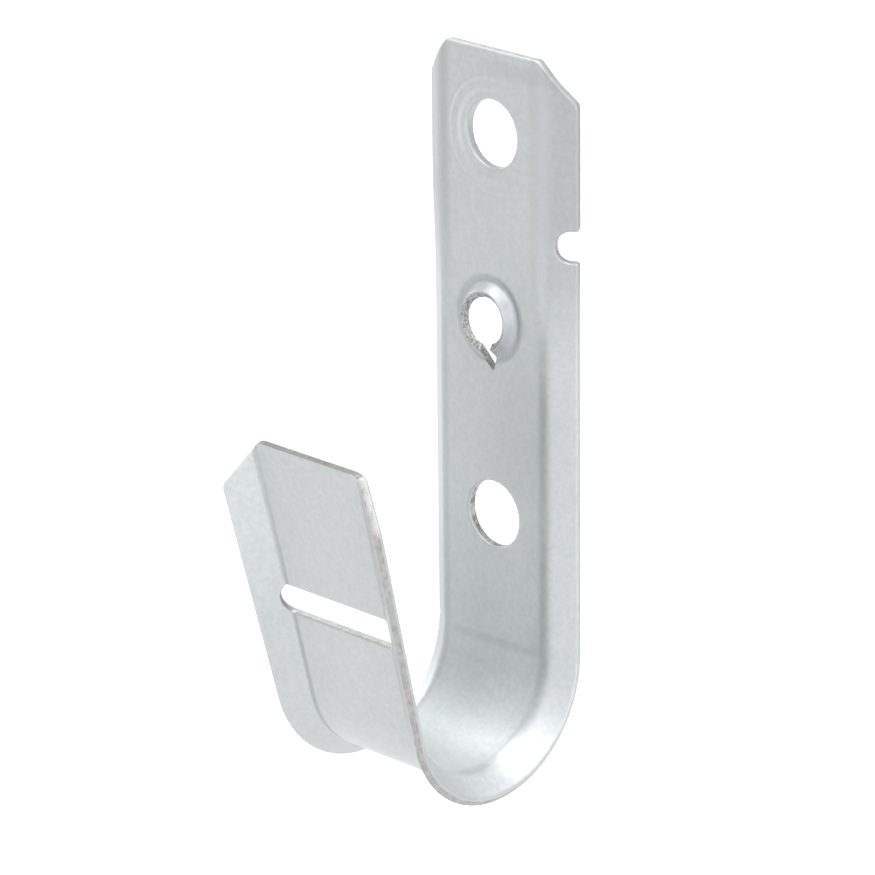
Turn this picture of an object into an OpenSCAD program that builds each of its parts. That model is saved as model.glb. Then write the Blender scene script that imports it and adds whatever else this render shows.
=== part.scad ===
// J hook cable support, pressed from one strip of galvanised sheet steel.
// Units are millimetres. X runs across the strip, the front faces -Y and +Z is up.
// The origin is the axis of the upper mounting hole at the back face of the web.
// The strip has a flat web and two side wings that turn away from the cables all along the J.

/* [Sheet] */
// Thickness of the sheet
sheet_t = 1.0; // [0.8:0.1:1.2]
// Width of the flat web between the two wing bends
web_w = 13.2; // [12.5:0.1:16]
// Angle between each wing and the web
wing_a = 35; // [25:1:38]
// Flat length of each wing from its bend to its edge, on the back plate and the cradle
wing_l = 3.0; // [2.8:0.1:4.4]
// Inside radius of the wing bends, on the side the wings turn to
wing_r = 1.0; // [0.5:0.1:1.6]

/* [Back plate] */
// Height of the straight back plate from the start of the cradle to its top edge
plate_h = 63.5; // [62:0.5:80]
// Distance from the top edge to the axis of the upper hole
top_gap = 8.8; // [7:0.1:9.5]
// Distance from the upper hole to the lower hole
hole_span = 40.8; // [39:0.1:43]
// Diameter of the upper and lower screw holes
hole_d = 7.1; // [5.5:0.1:7.5]
// Leg of the plate's cut corners, measured on the flat sheet
corner_leg = 4.3; // [3:0.1:4.4]

/* [Edge notch] */
// Distance from the top edge to the middle of the notch
notch_gap = 19.1; // [17.5:0.1:20]
// Height of the notch
notch_h = 3.3; // [2.5:0.1:4]
// Depth of the notch from the edge of the +X wing, along the wing
notch_d = 2.4; // [2:0.1:2.7]

/* [Thread impression] */
// Distance from the upper hole down to the axis of the impression
thread_gap = 19.6; // [18:0.1:21]
// Diameter of the front edge of the raised rim
rim_d = 6.4; // [6:0.1:6.8]
// Diameter of the foot of the raised cone on the front face
foot_d = 9.2; // [9:0.1:10.6]
// Mean height of the rim above the front face
rim_h = 1.15; // [0.8:0.05:1.4]
// Slope of the rim, which stands higher on the -X side of the slit
rim_tilt = 7; // [0:0.5:9]
// Diameter of the hole inside the rim
throat_d = 5.3; // [4.8:0.1:5.5]
// Direction of the slit, turned from straight down towards +X
slit_a = 12; // [0:1:40]
// Width of the slit at the rim
slit_w = 0.9; // [0.6:0.05:1.2]

/* [Cradle and lip] */
// Inside radius of the round cradle
cradle_r = 9.5; // [8:0.25:13]
// Outward lean of the lip from the vertical
lip_a = 13; // [5:0.5:25]
// Straight length of the lip
lip_l = 30; // [28:0.5:36]
// Growth of each wing's length from the cradle to the end of the lip
lip_flare = 1.6; // [0:0.1:2.2]
// Leg of the lip's cut corners, measured on the flat sheet
lip_corner_leg = 4.8; // [3:0.1:5.4]
// Distance from the end of the lip to the middle of its strap slot
slot_gap = 18.4; // [15:0.1:20]
// Height of the strap slot
slot_h = 3.4; // [2.5:0.1:3.8]
// Overall length of the strap slot across the lip
slot_l = 17; // [12:0.1:17.4]

/* [Hidden] */
$fn = 96;
// Overlap that carries a cut clear of a face
clear = 1;
// Overlap that roots the raised cone in the web
seam = 0.01;
// Length of each straight run that lies inside the round run
lap = 0.2;
// Height by which the round run's skin stands proud of the straight runs
skin = 0.01;
// Width of the slit at its outer end
slit_end_w = 0.35;

bend_r = wing_r + sheet_t;
half_web = web_w / 2;
arc_l = bend_r * wing_a * PI / 180;
bend_x = half_web + bend_r * sin(wing_a);
half_w = bend_x + (wing_l + lip_flare) * cos(wing_a);
flare_a = atan2(lip_flare, lip_l);
lip_turn = 180 - lip_a;
z_top = top_gap;
z_cradle = z_top - plate_h;
z_thread = -thread_gap;
z_lower = -hole_span;
z_notch = z_top - notch_gap;
y_cradle = -sheet_t - cradle_r;
foot_r = foot_d / 2;
rim_r = rim_d / 2;
rim_drop = rim_r * tan(rim_tilt);

// One wing of the cross section: the bend's arc and the flat beyond it.
module wing_section(wing, proud) {
  span = 2 * bend_r;
  translate([half_web, sheet_t + wing_r]) {
    difference() {
      circle(r = bend_r + proud);
      circle(r = wing_r - proud);
      translate([-span, -span]) square([span, 2 * span]);
      rotate(wing_a) translate([0, -span]) square([span, 2 * span]);
    }
    rotate(wing_a) translate([0, -bend_r - proud]) square([wing + proud, sheet_t + 2 * proud]);
  }
}

// Cross section of the strip: X across, Y from the cable side at 0 to the outer side.
// A section that stands proud takes the ends of the straight runs inside it.
module strip_section(wing, proud = 0) {
  translate([-half_web, -proud]) square([web_w, sheet_t + 2 * proud]);
  wing_section(wing, proud);
  mirror([1, 0]) wing_section(wing, proud);
}

// Corner waste seen from the front, a 45 degree cut made on the flat sheet.
// It follows the wing as it turns, so its slope grows steeper on the wing.
module corner_waste(wing, leg) {
  start = half_web + arc_l + wing - leg;
  for (side = [0, 1]) mirror([side, 0])
    polygon([
      [start, 0],
      [bend_x, wing - leg],
      [bend_x + (wing + clear) * cos(wing_a), -leg - clear],
      [half_w + 2 * clear, -leg - clear],
      [half_w + 2 * clear, clear],
      [start, clear]
    ]);
}

// Strip end running up the Z axis from 0 to length, with both top corners cut away.
module strip_end(length, wing, leg) {
  difference() {
    translate([0, 0, -lap]) linear_extrude(height = length + lap) strip_section(wing);
    translate([0, -clear, length]) rotate([90, 0, 0])
      translate([0, 0, -2 * half_w]) linear_extrude(height = 2 * half_w) corner_waste(wing, leg);
  }
}

// Waste beyond the flared side edges of the lip, cut square to the wings.
module flare_waste() {
  for (side = [0, 1]) mirror([side, 0, 0])
    translate([half_web, sheet_t + wing_r, 0]) rotate([0, 0, wing_a])
      translate([wing_l, -bend_r - clear, 0]) rotate([0, flare_a, 0])
        translate([0, 0, -clear]) cube([2 * wing_l, sheet_t + 2 * clear, 2 * lip_l]);
}

// Round-bottomed notch cut square to the +X wing.
module edge_notch() {
  translate([half_web, wing_r, z_notch])
    rotate([0, 0, wing_a]) translate([wing_l - notch_d + notch_h / 2, -bend_r, 0])
      rotate([-90, 0, 0]) {
        translate([0, 0, -clear]) cylinder(h = sheet_t + 2 * clear, d = notch_h);
        translate([0, -notch_h / 2, -clear]) cube([notch_d, notch_h, sheet_t + 2 * clear]);
      }
}

// Straight hole through the web at height z.
module web_hole(z, d) {
  translate([0, clear, z]) rotate([90, 0, 0]) cylinder(h = sheet_t + 2 * clear, d = d);
}

// Solid cone pressed forward out of the web, with a sloping front.
module thread_cone() {
  slope = (foot_r - rim_r) / rim_h;
  difference() {
    translate([0, seam - sheet_t, z_thread]) rotate([90, 0, 0])
      cylinder(h = rim_h + rim_drop + seam, r1 = foot_r + seam * slope, r2 = rim_r - rim_drop * slope);
    translate([0, -sheet_t - rim_h, z_thread]) rotate([0, slit_a, 0]) rotate([0, 0, -rim_tilt])
      translate([-foot_d, -foot_d, -foot_d]) cube([2 * foot_d, foot_d, 2 * foot_d]);
  }
}

// Hollow of the cone: a bell mouth at the back that leaves a wall as thick as the sheet,
// the throat it narrows to, and the slit.
module thread_hollow() {
  lean = atan2(rim_h, foot_r - rim_r);
  bell_r = foot_r - sheet_t * tan(lean / 2);
  bell_h = (bell_r - throat_d / 2) * tan(lean);
  translate([0, clear, z_thread]) rotate([90, 0, 0]) {
    cylinder(h = bell_h + clear, r1 = bell_r + clear / tan(lean), r2 = throat_d / 2);
    cylinder(h = sheet_t + rim_h + rim_drop + 2 * clear, d = throat_d);
    rotate(slit_a) linear_extrude(height = sheet_t + rim_h + rim_drop + 2 * clear)
      polygon([[-slit_w / 2, 0], [slit_w / 2, 0],
        [slit_end_w / 2, -foot_r], [-slit_end_w / 2, -foot_r]]);
  }
}

// Strap slot with round ends, cut square to the lip's web.
module strap_slot() {
  reach = (slot_l - slot_h) / 2;
  depth = 4 * sheet_t + 2 * clear;
  translate([0, -clear, lip_l - slot_gap]) rotate([-90, 0, 0]) {
    for (x = [-reach, reach]) translate([x, 0, 0]) cylinder(h = depth, d = slot_h);
    translate([-reach, -slot_h / 2, 0]) cube([2 * reach, slot_h, depth]);
  }
}

module back_plate() {
  difference() {
    union() {
      translate([0, -sheet_t, z_cradle]) strip_end(plate_h, wing_l, corner_leg);
      thread_cone();
    }
    web_hole(0, hole_d);
    web_hole(z_lower, hole_d);
    thread_hollow();
    edge_notch();
  }
}

// Straight lip, running down from the +Y side before the hook turns it into place.
module lip() {
  translate([0, cradle_r, 0]) mirror([0, 0, 1]) difference() {
    strip_end(lip_l, wing_l + lip_flare, lip_corner_leg);
    flare_waste();
    strap_slot();
  }
}

// Round run of the strip about the cradle's centre, from the back plate to the lip.
module cradle() {
  rotate([-90, 0, 90]) rotate_extrude(angle = lip_turn)
    translate([cradle_r, 0]) rotate(-90) strip_section(wing_l, skin);
}

module hook() {
  color([0.74, 0.76, 0.76]) union() {
    back_plate();
    translate([0, y_cradle, z_cradle]) {
      cradle();
      rotate([-lip_turn, 0, 0]) lip();
    }
  }
}

hook();
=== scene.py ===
import math

import bpy
from mathutils import Matrix, Vector
from mathutils.geometry import delaunay_2d_cdt
from mathutils.kdtree import KDTree


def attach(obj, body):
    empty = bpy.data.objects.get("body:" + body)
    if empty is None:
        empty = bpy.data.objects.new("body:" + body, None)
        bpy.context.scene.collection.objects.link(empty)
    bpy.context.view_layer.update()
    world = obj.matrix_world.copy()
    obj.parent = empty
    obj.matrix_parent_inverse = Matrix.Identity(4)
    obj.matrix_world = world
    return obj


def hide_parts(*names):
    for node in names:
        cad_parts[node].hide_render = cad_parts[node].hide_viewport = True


# The hook is one strip of sheet steel. Its flat blank is meshed first, and every point of the mesh is then
# moved to its place on the bent strip. On the blank, u runs across the strip and s along it: s is 0 at the
# foot of the plate, grows up the plate, and falls below 0 round the cradle and up the lip. h runs through
# the sheet, from 0 on the cable side to SHEET on the back. All three are in millimetres.

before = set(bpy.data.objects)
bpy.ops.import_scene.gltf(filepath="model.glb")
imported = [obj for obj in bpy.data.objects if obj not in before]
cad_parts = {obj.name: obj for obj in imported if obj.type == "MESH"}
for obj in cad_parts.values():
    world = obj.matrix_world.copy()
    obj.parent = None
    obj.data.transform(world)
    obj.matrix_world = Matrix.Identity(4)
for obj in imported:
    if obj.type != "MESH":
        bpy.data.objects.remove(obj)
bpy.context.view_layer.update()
MM = 0.001

# ---------- the strip, with the values of the part's source ----------
SHEET = 1.0                         # sheet thickness
WEB = 6.6                           # half width of the flat web
BEND = 2.0                          # radius of the wing bends on the cable side
WING_ANGLE = math.radians(35)
WING = 3.0                          # flat length of a wing
CRADLE = 9.5                        # inside radius of the cradle
TURN = math.radians(167)            # from the plate round the cradle to the lip
PLATE = 63.5                        # height of the plate
LIP = 30.0                          # straight length of the lip
CRADLE_Z = -54.7                    # height of the cradle's centre; the upper hole is at 0
HOLE = 3.55                         # radius of the two fixing holes
HOLE_SPAN = 40.8                    # from the upper hole down to the lower one
THREAD_GAP = 19.6                   # from the upper hole down to the thread impression
NOTCH_GAP = 19.1                    # from the plate's top down to the notch
NOTCH_R, NOTCH_DEPTH = 1.65, 2.4
SLOT_GAP = 18.4                     # from the lip's end to the middle of the strap slot
SLOT_R, SLOT_HALF = 1.7, 8.74       # the slot's end radius, and its half length on the flat blank
CORNER, LIP_CORNER = 4.3, 4.8       # legs of the cut corners

ARC = CRADLE * TURN                 # length of the cradle on the blank
LIP_END = -ARC - LIP
HALF = WEB + BEND * WING_ANGLE + WING   # half width of the blank
S_UPPER = -CRADLE_Z
S_THREAD = S_UPPER - THREAD_GAP
S_LOWER = S_UPPER - HOLE_SPAN
S_NOTCH = PLATE - NOTCH_GAP
S_SLOT = LIP_END + SLOT_GAP

# ---------- what only this script shows of the strip ----------
CORNER_ROUND = 0.9                  # radius where a cut corner ends
PLATE_EDGE_ROUND, LIP_END_ROUND = 1.0, 2.4      # but larger on the plate's edges and at the lip's end
NOTCH_ROUND = 0.35                  # radius at the notch's mouth
EASE, EASE_FROM = 0.4, -0.5 * ARC   # growth of the blank's half width along the cradle's second half
FLARE = 1.41                        # the same at the end of the lip
SPREAD, SPREAD_FROM = 0.35, 0.4 * ARC   # how far each wing bend runs outwards along the cradle
SLACK = math.radians(4)             # how much less the wings are bent at the plate's top
SLACK_FROM, SLACK_TO = 38.0, 50.0
SOFTER = 4.5                        # growth of the wing bends' radius towards the plate's top
SOFTER_FROM, SOFTER_TO = 35.0, 47.0
CREASE_DEPTH, CREASE_WIDTH, CREASE_S = 0.08, 0.45, -0.1    # pressed line where the cradle starts
DISH = 0.15                         # how far the upper hole's surround is pressed back
DISH_FROM, DISH_TO = 4.3, 4.8
RIDGE, RIDGE_R, RIDGE_WIDTH = 0.10, 5.95, 0.17             # proud ring outside that
UPPER_ZONE = 7.0                    # radius within which the blank is formed around the upper hole

# ---------- the thread impression ----------
FOOT, RIM = 4.05, 3.15              # radii of its foot and rim
RIM_LOW, RIM_HIGH = 0.95, 1.50      # heights of the rim at the two sides of the slit
RIM_LEAN, RIM_THINS = 0.70, 0.50    # how much the wall leans over and thins at the rim
STEEPER = 0.1                       # share of the rise that comes late, towards the rim
FOOT_BEND = 0.45                    # how much wider the foot is per millimetre of depth in the sheet
DRAWN = 0.83                        # share of its width that it keeps on the +X side
SLIT_TURN = math.radians(2)         # direction of the slit, from straight down towards +X
SLIT_HALF, SLIT_TIP_HALF = 0.60, 0.28   # half widths at the rim, and at the tip on the +X side
SLIT_REACH = 0.95                   # how far the slit runs past the foot
LIFT_REACH = 1.15                   # growth of the foot's radius towards the slit's -X side
LIFT_FROM = 1.5 * math.pi           # turn from the slit at which that growth starts
MOAT, MOAT_DEPTH = 5.0, 0.08        # outer radius and depth of the shallow ring around the foot
MOAT_FLAT = 0.15                    # share of that ring's width that has its full depth
THREAD_ZONE = MOAT + 0.6            # radius within which the blank is formed around the thread

# ---------- the mesh ----------
STEP = 0.35                         # longest step along a cut edge
ARC_STEP = math.radians(9)          # longest step round a rounded corner
ROUND_END = 0.999                   # share of a half height that a round end takes: its arcs don't meet
SAME = 1e-4                         # points nearer than this are one point
MITER_LIMIT = 1.5
FINE, COARSE, ROW = 0.16, 0.55, 0.45    # grid steps across the bends, across the flats, and along
FINE_BEFORE, FINE_AFTER = 1.2, 0.3  # how far the fine steps run past the bends
UPPER_START, THREAD_START = HOLE + 0.35, RIM + 0.20     # first rings of points in the formed zones
RING_STEP, RING_POINTS = 0.17, 80
EDGE_GAP = 0.13                     # grid points keep this far from the cut edges
BURR = 0.06                         # largest bevel on the back of a cut edge
LIP_FACE = 0.5                      # edges within this of the lip's end are its end face

# material slots of the hook
ZINC, SHEARED, TORN, DARK_CUT, LIP_CUT = range(5)


# ---------- from the flat blank to the bent strip ----------
def smooth(x, low, high):
    """0 below low, 1 above high, with a soft course between."""
    k = min(max((x - low) / (high - low), 0.0), 1.0)
    return k * k * (3 - 2 * k)


def peak(x, middle, width):
    """Bell curve of height 1."""
    return math.exp(-((x - middle) / width) ** 2)


def bent(u, s, h):
    """Place in space, in metres, of a point of the blank."""
    side, across = (1 if u >= 0 else -1), abs(u)
    angle = WING_ANGLE - SLACK * smooth(s, SLACK_FROM, SLACK_TO)
    radius = BEND + SOFTER * smooth(s, SOFTER_FROM, SOFTER_TO)
    start = WEB - (radius - BEND) * angle / 2 + SPREAD * smooth(-s, SPREAD_FROM, ARC)
    bend = min(max((across - start) / radius, 0.0), angle)
    wing = max(across - start - radius * angle, 0.0)
    x = min(across, start) + radius * math.sin(bend) + wing * math.cos(bend) - h * math.sin(bend)
    depth = radius * (1 - math.cos(bend)) + wing * math.sin(bend) + h * math.cos(bend)

    turn = min(max(-s / CRADLE, 0.0), TURN)
    lip, plate = max(-s - ARC, 0.0), max(s, 0.0)
    y = -CRADLE + (CRADLE + depth) * math.cos(turn) - lip * math.sin(turn)
    z = -(CRADLE + depth) * math.sin(turn) - lip * math.cos(turn) + plate
    return Vector((side * x, y - SHEET, z + CRADLE_Z)) * MM


def thread_form(du, ds, h):
    """Inward shift and new h of a point that is (du, ds) from the thread impression's centre."""
    r = math.hypot(du, ds)
    turn = (math.atan2(du, -ds) - SLIT_TURN) % (2 * math.pi)    # from the slit, anticlockwise from the front
    lift = smooth(turn, LIFT_FROM, 2 * math.pi)
    foot = FOOT + FOOT_BEND * h * (1 - lift) + LIFT_REACH * lift
    sink = MOAT_DEPTH * (1 - lift)
    if r >= foot:
        return 0.0, h + sink * (1 - smooth((r - foot) / (MOAT - FOOT), MOAT_FLAT, 1.0))
    top = RIM_LOW + (RIM_HIGH - RIM_LOW) * turn / (2 * math.pi)
    k = (foot - r) / (foot - RIM)                               # 0 at the foot, 1 at the rim
    rise = (top + sink) * ((1 - STEEPER) * k + STEEPER * k ** 3) - sink
    return RIM_LEAN * k * h, h * (1 - RIM_THINS * k) - rise


def placed(u, s, h):
    """Place in space, in metres, of a point of the blank with its pressed details."""
    share = DRAWN if u > 0 else 1.0
    du, ds = u / share, s - S_THREAD
    r = math.hypot(du, ds)
    if r < THREAD_ZONE:
        shift, h = thread_form(du, ds, h)
        k = 1 - shift / r
        return bent(du * k * share, S_THREAD + ds * k, h)
    r = math.hypot(u, s - S_UPPER)
    if r < UPPER_ZONE:
        pressed = 0.5 - 0.5 * u / r                             # harder towards -X
        h += pressed * (DISH * (1 - smooth(r, DISH_FROM, DISH_TO)) - RIDGE * peak(r, RIDGE_R, RIDGE_WIDTH))
    h += CREASE_DEPTH * peak(s, CREASE_S, CREASE_WIDTH)
    return bent(u, s, h)


# ---------- outlines of the flat blank ----------
def turned(v, angle):
    """The flat vector turned anticlockwise."""
    cos, sin = math.cos(angle), math.sin(angle)
    return Vector((v.x * cos - v.y * sin, v.x * sin + v.y * cos))


def rounded(corners):
    """Closed outline through (u, s, corner radius), in fine steps and in the given direction."""
    outline = []
    for i, (u, s, radius) in enumerate(corners):
        corner = Vector((u, s))
        if radius == 0:
            outline.append(corner)
            continue
        before = (Vector(corners[i - 1][:2]) - corner).normalized()
        after = (Vector(corners[(i + 1) % len(corners)][:2]) - corner).normalized()
        half = before.angle(after) / 2
        centre = corner + (before + after).normalized() * (radius / math.sin(half))
        reach = radius / math.tan(half)
        a, b = corner + before * reach - centre, corner + after * reach - centre
        sweep = math.atan2(a.x * b.y - a.y * b.x, a.dot(b))
        steps = max(3, int(abs(sweep) / ARC_STEP))
        outline += [centre + turned(a, sweep * k / steps) for k in range(steps + 1)]
    fine = []
    for p, q in zip(outline, outline[1:] + outline[:1]):
        parts = max(1, math.ceil((q - p).length / STEP))
        fine += [p.lerp(q, k / parts) for k in range(parts)]
    return [p for p, q in zip(fine, fine[1:] + fine[:1]) if (p - q).length > SAME]


def circle(s, radius, points):
    """Circle around (0, s), anticlockwise."""
    turns = [2 * math.pi * i / points for i in range(points)]
    return [Vector((radius * math.cos(t), s + radius * math.sin(t))) for t in turns]


def blank_outline():
    """Outline of the blank, anticlockwise, with cut corners and the notch in the +X edge."""
    wide, notch_r = HALF + FLARE, NOTCH_R * ROUND_END
    right = [
        (wide - LIP_CORNER, LIP_END, LIP_END_ROUND),
        (wide, LIP_END + LIP_CORNER, CORNER_ROUND),
        (HALF + EASE, -ARC, 0),
        (HALF, EASE_FROM, 0),
        (HALF, S_NOTCH - NOTCH_R, NOTCH_ROUND),
        (HALF - NOTCH_DEPTH, S_NOTCH - NOTCH_R, notch_r),
        (HALF - NOTCH_DEPTH, S_NOTCH + NOTCH_R, notch_r),
        (HALF, S_NOTCH + NOTCH_R, NOTCH_ROUND),
        (HALF, PLATE - CORNER, PLATE_EDGE_ROUND),
        (HALF - CORNER, PLATE, CORNER_ROUND)]
    left = [(-u, s, radius) for u, s, radius in reversed(right) if abs(s - S_NOTCH) > 2 * NOTCH_R]
    return rounded(right + left)


def fixing_hole(s):
    """A plain round hole, clockwise."""
    return circle(s, HOLE, 96)[::-1]


def drawn_in(points):
    """Points around the thread impression, with its narrower +X side."""
    return [Vector((p.x * (DRAWN if p.x > 0 else 1.0), p.y)) for p in points]


def thread_opening():
    """The rim circle and the tapering slit that opens it, as one clockwise outline."""
    def at(down, side):
        return turned(Vector((side, -down)), SLIT_TURN) + Vector((0, S_THREAD))

    gap = math.asin(SLIT_HALF / RIM)
    start, tip = RIM * math.cos(gap), FOOT + SLIT_REACH
    rim_steps, slit_steps, tip_steps = 90, 8, 4
    points = []
    for i in range(rim_steps + 1):                              # round the rim, from the slit's +X side
        t = gap + (2 * math.pi - 2 * gap) * i / rim_steps
        points.append(at(RIM * math.cos(t), RIM * math.sin(t)))
    for k in range(1, slit_steps):                              # out along the slit's -X side
        points.append(at(start + (tip - start) * k / slit_steps, -SLIT_HALF))
    middle, radius = (SLIT_TIP_HALF - SLIT_HALF) / 2, (SLIT_TIP_HALF + SLIT_HALF) / 2
    for k in range(tip_steps + 1):                              # round its tip
        t = math.pi * k / tip_steps
        points.append(at(tip + radius * math.sin(t), middle - radius * math.cos(t)))
    for k in range(slit_steps - 1, 0, -1):                      # and back along its +X side
        f = k / slit_steps
        points.append(at(start + (tip - start) * f, SLIT_HALF + (SLIT_TIP_HALF - SLIT_HALF) * f))
    return drawn_in(reversed(points))


def slot_outline():
    """The strap slot with round ends, clockwise."""
    low, high = S_SLOT - SLOT_R, S_SLOT + SLOT_R
    corners = [(-SLOT_HALF, low), (-SLOT_HALF, high), (SLOT_HALF, high), (SLOT_HALF, low)]
    return rounded([(u, s, SLOT_R * ROUND_END) for u, s in corners])


def inset(loop, distance):
    """The loop moved into the material on its left, and the directions that lead back out to the edge."""
    inner, outward = [], []
    for i, point in enumerate(loop):
        before = (point - loop[i - 1]).normalized()
        after = (loop[(i + 1) % len(loop)] - point).normalized()
        left = turned((before + after).normalized(), math.pi / 2)
        miter = 1 / max(left.dot(turned(before, math.pi / 2)), 1 / MITER_LIMIT)
        inner.append(point + left * distance * miter)
        outward.append(-left * miter)
    return inner, outward


# ---------- the pressed strip as a mesh ----------
def encloses(loop, p):
    """Whether the closed outline goes round the point."""
    inside = False
    for a, b in zip(loop, loop[1:] + loop[:1]):
        if (a.y > p.y) != (b.y > p.y) and p.x < (b.x - a.x) * (p.y - a.y) / (b.y - a.y) + a.x:
            inside = not inside
    return inside


def grid_points():
    """Points over the blank: close together across the bends, wider on the flats, rings in formed zones."""
    fine_from, fine_to = WEB - FINE_BEFORE, WEB + BEND * WING_ANGLE + FINE_AFTER
    half = [0.0]
    while half[-1] < HALF + FLARE:
        half.append(half[-1] + (FINE if fine_from < half[-1] < fine_to else COARSE))
    across = [-u for u in reversed(half[1:])] + half
    rows = math.ceil((PLATE - LIP_END) / ROW)
    points = [Vector((u, LIP_END + ROW * row)) for row in range(rows) for u in across]

    zones = [(S_UPPER, UPPER_START, UPPER_ZONE), (S_THREAD, THREAD_START, THREAD_ZONE)]
    points = [p for p in points if all((p - Vector((0, s))).length > end for s, _, end in zones)]
    for s, start, end in zones:
        for k in range(int((end - start) / RING_STEP) + 1):
            ring = circle(s, start + RING_STEP * k, RING_POINTS)
            points += drawn_in(ring) if s == S_THREAD else ring
    return points


def flat_mesh(loops):
    """Points and triangles of the blank inside the first loop and outside the rest. The loops come first."""
    def in_sheet(p):
        return encloses(loops[0], p) and not any(encloses(hole, p) for hole in loops[1:])

    points, edges = [], []
    for loop in loops:
        first = len(points)
        points += loop
        edges += [(first + i, first + (i + 1) % len(loop)) for i in range(len(loop))]
    near = KDTree(len(points))
    for i, p in enumerate(points):
        near.insert(p.to_3d(), i)
    near.balance()
    points += [p for p in grid_points() if near.find(p.to_3d())[2] >= EDGE_GAP and in_sheet(p)]
    flat, _, triangles, _, _, _ = delaunay_2d_cdt(points, edges, [], 0, 1e-7)
    assert len(flat) == len(points), "the outlines of the blank cross"
    return flat, [t for t in triangles if in_sheet((flat[t[0]] + flat[t[1]] + flat[t[2]]) / 3)]


def cut_edges():
    """Each outline of the blank with the radius that shearing rolled onto its front and its material."""
    return [
        (blank_outline(), 0.27, SHEARED),
        (fixing_hole(S_UPPER), 0.30, ZINC),
        (fixing_hole(S_LOWER), 0.26, DARK_CUT),
        (thread_opening(), 0.08, TORN),
        (slot_outline(), 0.18, SHEARED)]


def edge_profile(roll, coat):
    """Section of a cut edge after its start on the front: way out, h, and the material up to there."""
    burr = min(BURR, roll / 2)
    rolled = [math.radians(30), math.radians(60), math.radians(90)]
    profile = [(roll * math.sin(t), roll * (1 - math.cos(t)), ZINC) for t in rolled]
    return profile + [(roll, SHEET / 2, coat), (roll, SHEET - burr, coat), (roll - burr, SHEET, ZINC)]


def strip_mesh():
    """The front and back of the bent strip, and the walls of its cut edges between them."""
    edges = cut_edges()
    insets = [inset(loop, roll) for loop, roll, _ in edges]
    flat, triangles = flat_mesh([inner for inner, _ in insets])
    back = len(flat)                                            # number of the first point on the back
    points = [placed(p.x, p.y, h) for h in (0.0, SHEET) for p in flat]
    faces = [tuple(t) for t in triangles] + [tuple(back + i for i in reversed(t)) for t in triangles]
    coats = [ZINC] * len(faces)

    def add_band(ring, following, loop, coat):
        """Faces between two rings of points along a cut edge."""
        for i, p in enumerate(loop):
            j = (i + 1) % len(loop)
            faces.append((ring[j], ring[i], following[i], following[j]))
            coats.append(LIP_CUT if coat == SHEARED and p.y < LIP_END + LIP_FACE else coat)

    first = 0                                                   # number of the loop's first point
    for (_, roll, coat), (loop, outward) in zip(edges, insets):
        ring = range(first, first + len(loop))
        for reach, h, band_coat in edge_profile(roll, coat):
            following = range(len(points), len(points) + len(loop))
            edge = [p + way * reach for p, way in zip(loop, outward)]
            points += [placed(p.x, p.y, h) for p in edge]
            add_band(ring, following, loop, band_coat)
            ring = following
        add_band(ring, range(back + first, back + first + len(loop)), loop, ZINC)
        first += len(loop)

    mesh = bpy.data.meshes.new("hook_sheet")
    mesh.from_pydata(points, [], faces)
    mesh.polygons.foreach_set("material_index", coats)
    mesh.polygons.foreach_set("use_smooth", [True] * len(faces))
    mesh.update()
    return mesh


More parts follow.
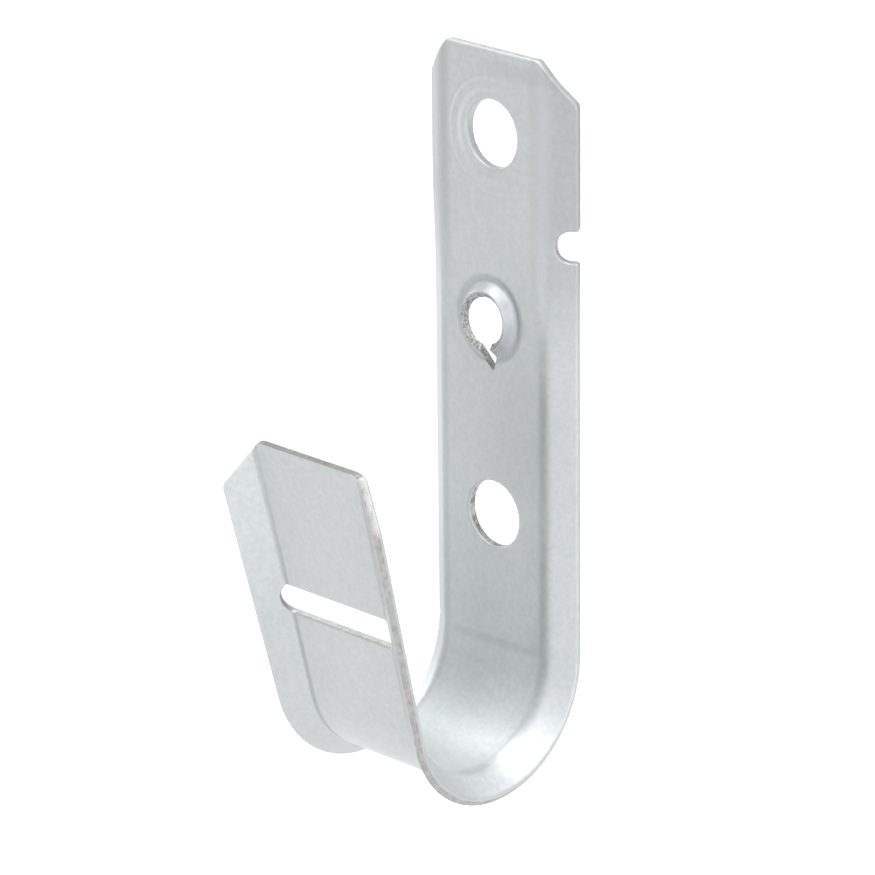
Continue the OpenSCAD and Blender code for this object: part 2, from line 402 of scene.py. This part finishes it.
# ---------- nodes ----------
class Tree:
    """The node tree of a material or world, with short ways to add nodes to it."""

    def __init__(self, owner):
        owner.use_nodes = True
        self.nodes, self.links = owner.node_tree.nodes, owner.node_tree.links

    def feed(self, socket, value):
        """Sets the socket to a number or links it to another node's output."""
        if isinstance(value, (int, float)):
            socket.default_value = value
        else:
            self.links.new(value, socket)

    def maths(self, operation, *values):
        node = self.nodes.new("ShaderNodeMath")
        node.operation = operation
        for socket, value in zip(node.inputs, values):
            self.feed(socket, value)
        return node.outputs[0]

    def both(self, first, *others):
        """Product of masks: 1 where all of them are 1."""
        for other in others:
            first = self.maths("MULTIPLY", first, other)
        return first

    def ranged(self, source, low, high):
        """0 where the source is low, 1 where it is high, and straight between."""
        node = self.nodes.new("ShaderNodeMapRange")
        node.inputs["From Min"].default_value = low
        node.inputs["From Max"].default_value = high
        self.feed(node.inputs["Value"], source)
        return node.outputs["Result"]

    def scaled(self, source, low, high):
        """low where the source is 0 and high where it is 1."""
        node = self.nodes.new("ShaderNodeMapRange")
        node.inputs["To Min"].default_value = low
        node.inputs["To Max"].default_value = high
        self.feed(node.inputs["Value"], source)
        return node.outputs["Result"]

    def ramp(self, source, *stops):
        """Soft course through stops of (position, value)."""
        node = self.nodes.new("ShaderNodeValToRGB")
        node.color_ramp.interpolation = "EASE"
        while len(node.color_ramp.elements) < len(stops):
            node.color_ramp.elements.new(0.5)
        for element, (position, value) in zip(node.color_ramp.elements, stops):
            element.position = position
            element.color = (value, value, value, 1.0)
        self.feed(node.inputs["Fac"], source)
        return node.outputs["Color"]

    def above(self, source, low, high):
        """Mask along a coordinate, in millimetres: 0 below low, 1 above high."""
        return self.ramp(self.ranged(source, low * MM, high * MM), (0.0, 0.0), (1.0, 1.0))

    def below(self, source, low, high):
        """Mask along a coordinate, in millimetres: 1 below low, 0 above high."""
        return self.ramp(self.ranged(source, low * MM, high * MM), (0.0, 1.0), (1.0, 0.0))

    def around(self, source, middle, reach):
        """Mask along a coordinate, in millimetres: 1 around the middle, 0 beyond the reach."""
        span = self.ranged(source, (middle - reach) * MM, (middle + reach) * MM)
        return self.ramp(span, (0.0, 0.0), (0.35, 1.0), (0.65, 1.0), (1.0, 0.0))

    def noise(self, place, scale, detail, roughness):
        node = self.nodes.new("ShaderNodeTexNoise")
        node.inputs["Scale"].default_value = scale
        node.inputs["Detail"].default_value = detail
        node.inputs["Roughness"].default_value = roughness
        self.feed(node.inputs["Vector"], place)
        return node.outputs["Fac"]

    def between(self, share, first, second):
        """Colour between two colours."""
        node = self.nodes.new("ShaderNodeMix")
        node.data_type = "RGBA"
        node.inputs["A"].default_value = (*first, 1.0)
        node.inputs["B"].default_value = (*second, 1.0)
        self.feed(node.inputs["Factor"], share)
        return node.outputs["Result"]

    def tinted(self, colour, mask, tint):
        """The colour, multiplied by the tint where the mask is 1."""
        node = self.nodes.new("ShaderNodeMix")
        node.data_type = "RGBA"
        node.blend_type = "MULTIPLY"
        node.inputs["B"].default_value = (*tint, 1.0)
        self.feed(node.inputs["Factor"], mask)
        self.feed(node.inputs["A"], colour)
        return node.outputs["Result"]

    def bumped(self, height, strength, distance, after=None):
        node = self.nodes.new("ShaderNodeBump")
        node.inputs["Strength"].default_value = strength
        node.inputs["Distance"].default_value = distance
        self.feed(node.inputs["Height"], height)
        if after is not None:
            self.feed(node.inputs["Normal"], after)
        return node.outputs["Normal"]

    def place(self):
        return self.nodes.new("ShaderNodeTexCoord").outputs["Object"]

    def axes(self, place):
        node = self.nodes.new("ShaderNodeSeparateXYZ")
        self.feed(node.inputs[0], place)
        return node.outputs["X"], node.outputs["Y"], node.outputs["Z"]

    def background_rays(self):
        """1 for the rays that show the background: camera, glossy and transmission rays."""
        path = self.nodes.new("ShaderNodeLightPath")
        shown = path.outputs["Is Camera Ray"]
        for name in ("Is Glossy Ray", "Is Transmission Ray"):
            shown = self.maths("MAXIMUM", shown, path.outputs[name])
        return shown


# ---------- materials ----------
def painted_shade_and_highlights(tree, place, colour):
    """Paints light and shade into the zinc's colour: painted shade along the lower wing bends, the lip's -X
    fold, the top of the +X wing, the plate's -X edge, top edge and foot, across the web where the cradle
    starts and round the thread impression, and painted highlights on the lip's -X wing and the lower +X
    wing. Places are in millimetres."""
    x, y, z = tree.axes(place)
    off_middle = tree.maths("ABSOLUTE", x)
    plate = tree.above(y, -16.0, -12.0)
    lip = tree.maths("SUBTRACT", 1.0, plate)
    top = tree.above(z, -22.0, -6.0)

    lip_slope, drawn_middle = 0.027, 0.3        # the lip's flare, and the thread's middle towards -X
    flared = tree.maths("SUBTRACT", off_middle, tree.maths("MULTIPLY", z, lip_slope))
    dx = tree.maths("ADD", x, drawn_middle * MM)
    dz = tree.maths("ADD", z, THREAD_GAP * MM)
    squares = tree.maths("ADD", tree.maths("MULTIPLY", dx, dx), tree.maths("MULTIPLY", dz, dz))
    from_thread = tree.maths("SQRT", squares)

    # Painted shade: a darker band along the wing bends on the lower plate.
    bends = tree.both(tree.around(off_middle, 7.1, 1.0), plate, tree.below(z, -28.0, -16.0))
    # Painted shade: a dark line along the lip's -X fold.
    lip_fold_shade = tree.both(tree.around(flared, 8.2, 0.45), lip, tree.below(x, -1.0, 1.0))
    # Painted highlight: the lip's -X wing made brighter.
    lip_wing_highlight = tree.both(tree.below(x, -7.8, -6.8), tree.above(z, -54.0, -32.0), lip)
    # Painted shade: the top of the +X wing made darker, which hides the bend's highlight there.
    upper_wing_shade = tree.both(tree.above(x, 4.8, 6.6), top)
    # Painted highlight: a lighter, bluer sheen on the plate's lower +X wing.
    lower_wing_highlight = tree.both(tree.above(x, 7.2, 8.2), tree.below(z, -24.0, -14.0), plate)
    # Painted shade: a darker band along the plate's -X edge, on its upper part.
    margin_shade = tree.both(tree.below(x, -7.0, -5.4), top, plate)
    # Painted shadow: a darker band just under the plate's top edge, towards +X.
    shoulder_shadow = tree.both(tree.around(z, 7.0, 1.4), tree.above(x, -4.0, 3.0))
    # Painted shade: the lower plate darker towards -X, standing in for a dark reflection.
    plate_foot_shade = tree.both(tree.below(x, -3.0, 5.0), tree.below(z, -54.0, -35.0), plate)
    # Painted shade: a dark line across the web where the cradle starts, along its pressed groove.
    crease_shade = tree.both(tree.below(off_middle, 4.5, 7.0), plate, tree.around(z, -54.9, 0.7))
    # Painted shade: a dark ring round the foot of the thread impression.
    thread_foot_shade = tree.both(tree.around(from_thread, 4.3, 0.6), plate)
    # Painted shade: the thread impression's flank made darker than its lighting leaves it.
    thread_flank_shade = tree.both(tree.around(from_thread, 3.2, 0.7), plate)
    # Tints below 1 are painted shade and tints above 1 are painted highlights, laid over the zinc's grain.
    tints = [
        (bends, (0.88, 0.88, 0.89)),
        (lip_fold_shade, (0.76, 0.77, 0.77)),
        (lip_wing_highlight, (1.15, 1.15, 1.16)),
        (upper_wing_shade, (0.84, 0.83, 0.86)),
        (lower_wing_highlight, (1.11, 1.10, 1.13)),
        (margin_shade, (0.81, 0.80, 0.80)),
        (shoulder_shadow, (0.92, 0.91, 0.94)),
        (plate_foot_shade, (0.85, 0.86, 0.86)),
        (crease_shade, (0.91, 0.91, 0.91)),
        (thread_foot_shade, (0.80, 0.81, 0.83)),
        (thread_flank_shade, (0.86, 0.85, 0.90))]
    for mask, tint in tints:
        colour = tree.tinted(colour, mask, tint)
    return colour


def zinc_material():
    """Satin zinc coat with a fine mottled grain and soft cloudy spangle."""
    material = bpy.data.materials.new("galvanised_sheet")
    tree = Tree(material)
    bsdf = tree.nodes["Principled BSDF"]
    place = tree.place()
    cloud = tree.noise(place, 300.0, 4.0, 0.65)
    grain = tree.noise(place, 1700.0, 3.0, 0.65)
    mottle = tree.ranged(tree.maths("MULTIPLY_ADD", cloud, 0.28, grain), 0.44, 0.84)
    tone = tree.ramp(mottle, (0.0, 0.0), (1.0, 1.0))
    colour = tree.between(tone, (0.488, 0.520, 0.519), (0.552, 0.577, 0.575))
    coarse = tree.bumped(cloud, 0.09, 0.06 * MM)
    # The base colour is the mottled zinc with painted shade and painted highlights laid over it.
    tree.feed(bsdf.inputs["Base Color"], painted_shade_and_highlights(tree, place, colour))
    tree.feed(bsdf.inputs["Roughness"], tree.ramp(grain, (0.25, 0.40), (0.75, 0.50)))
    tree.feed(bsdf.inputs["Metallic"], 0.42)
    tree.feed(bsdf.inputs["Normal"], tree.bumped(grain, 0.25, 0.02 * MM, coarse))
    return material


def cut_material(name, dark, light, scale, bump):
    """A sheared or torn edge: rougher than the zinc and streaked, where the punch broke through it."""
    material = bpy.data.materials.new(name)
    tree = Tree(material)
    bsdf = tree.nodes["Principled BSDF"]
    streak = tree.noise(tree.place(), scale, 4.0, 0.7)
    tone = tree.ramp(streak, (0.34, 0.0), (0.62, 1.0))
    tree.feed(bsdf.inputs["Base Color"], tree.between(tone, dark, light))
    tree.feed(bsdf.inputs["Metallic"], 0.4)
    tree.feed(bsdf.inputs["Roughness"], 0.5)
    tree.feed(bsdf.inputs["Normal"], tree.bumped(streak, 0.4, bump * MM))
    return material


def hook_materials():
    """The hook's materials in the order of its material slots."""
    return {
        ZINC: zinc_material(),
        SHEARED: cut_material("sheared_edge", (0.34, 0.34, 0.335), (0.46, 0.46, 0.455), 1100.0, 0.03),
        TORN: cut_material("torn_rim", (0.16, 0.152, 0.145), (0.58, 0.575, 0.57), 4200.0, 0.06),
        DARK_CUT: cut_material("dark_cut", (0.20, 0.195, 0.19), (0.60, 0.595, 0.59), 1500.0, 0.03),
        LIP_CUT: cut_material("lip_cut", (0.17, 0.165, 0.16), (0.23, 0.225, 0.22), 900.0, 0.02)}


# ---------- the hook ----------
mesh = strip_mesh()
for material in hook_materials().values():
    mesh.materials.append(material)
hook = bpy.data.objects.new("hook_sheet", mesh)
bpy.context.collection.objects.link(hook)
shading = hook.modifiers.new("even_shading", "WEIGHTED_NORMAL")
shading.keep_sharp = True
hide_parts("hook")
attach(hook, "root")

# ---------- floor and world: white to the rays that show the background ----------
WHITE = (1.0, 1.0, 1.0, 1.0)
FLOOR_Z, FLOOR_SIZE = -0.12, 8.0    # in metres
FLOOR_GREY = 0.62
FLOOR_GLOW = 0.8                    # the floor's own share of that white; the rest is light on it
WORLD_LEVEL = 0.27                  # soft studio light from all sides

bpy.ops.mesh.primitive_plane_add(size=FLOOR_SIZE, location=(0, 0, FLOOR_Z))
floor = bpy.context.object
floor.name = "floor"
pale = bpy.data.materials.new("floor_pale")
floor_tree = Tree(pale)
surface = floor_tree.nodes["Principled BSDF"]
surface.inputs["Base Color"].default_value = (FLOOR_GREY, FLOOR_GREY, FLOOR_GREY, 1.0)
surface.inputs["Roughness"].default_value = 0.9
surface.inputs["Emission Color"].default_value = WHITE
glow = floor_tree.scaled(floor_tree.background_rays(), 0.0, FLOOR_GLOW)
floor_tree.feed(surface.inputs["Emission Strength"], glow)
floor.data.materials.append(pale)

world = bpy.data.worlds.new("studio")
bpy.context.scene.world = world
world_tree = Tree(world)
sky = world_tree.nodes["Background"]
sky.inputs["Color"].default_value = WHITE
level = world_tree.scaled(world_tree.background_rays(), WORLD_LEVEL, 1.0)
world_tree.feed(sky.inputs["Strength"], level)


# ---------- lamps ----------
HOOK_MIDDLE = Vector((0.0, -0.012, -0.028))


def area(name, place, size, power):
    """A soft rectangular lamp that points at the hook's middle. Places and sizes are in metres."""
    lamp = bpy.data.lights.new(name, "AREA")
    lamp.shape = "RECTANGLE"
    lamp.size, lamp.size_y = size
    lamp.energy = power
    holder = bpy.data.objects.new(name, lamp)
    bpy.context.collection.objects.link(holder)
    holder.location = place
    holder.rotation_euler = (HOOK_MIDDLE - Vector(place)).to_track_quat("-Z", "Y").to_euler()


area("key_right", (0.60, -0.28, 0.05), (0.40, 0.40), 1.15)
area("top_right", (0.25, -0.25, 0.38), (0.30, 0.30), 0.52)
area("front_near", (-0.06, -0.25, -0.06), (0.12, 0.12), 0.07)
area("back_left", (-0.55, 0.10, 0.08), (0.30, 0.30), 1.2)
area("top", (0.0, -0.01, 0.50), (0.50, 0.10), 3.2)

# ---------- camera: the photograph's viewing angle ----------
AZIMUTH, ELEVATION, ROLL = math.radians(45.18), math.radians(19.72), math.radians(-0.62)
DISTANCE = 522.8 * MM
AIM = Vector((0.0, -16.0, -28.563)) * MM
SHIFT = 4.974 * MM                  # the aim's way to the right of that

back = Vector((math.sin(AZIMUTH) * math.cos(ELEVATION), -math.cos(AZIMUTH) * math.cos(ELEVATION),
               math.sin(ELEVATION)))
right = Vector((math.cos(AZIMUTH), math.sin(AZIMUTH), 0.0))
up = back.cross(right)
rolled_right = right * math.cos(ROLL) + up * math.sin(ROLL)
rolled_up = up * math.cos(ROLL) - right * math.sin(ROLL)
camera_data = bpy.data.cameras.new("camera")
camera_data.sensor_width = 36.0
camera_data.lens = 213.9
camera_data.clip_start = 0.01
camera_data.clip_end = 50
camera = bpy.data.objects.new("camera", camera_data)
bpy.context.collection.objects.link(camera)
pose = Matrix((rolled_right, rolled_up, back)).transposed().to_4x4()
pose.translation = AIM + right * SHIFT + back * DISTANCE
camera.matrix_world = pose
bpy.context.scene.camera = camera
bpy.context.scene.view_settings.view_transform = "Standard"
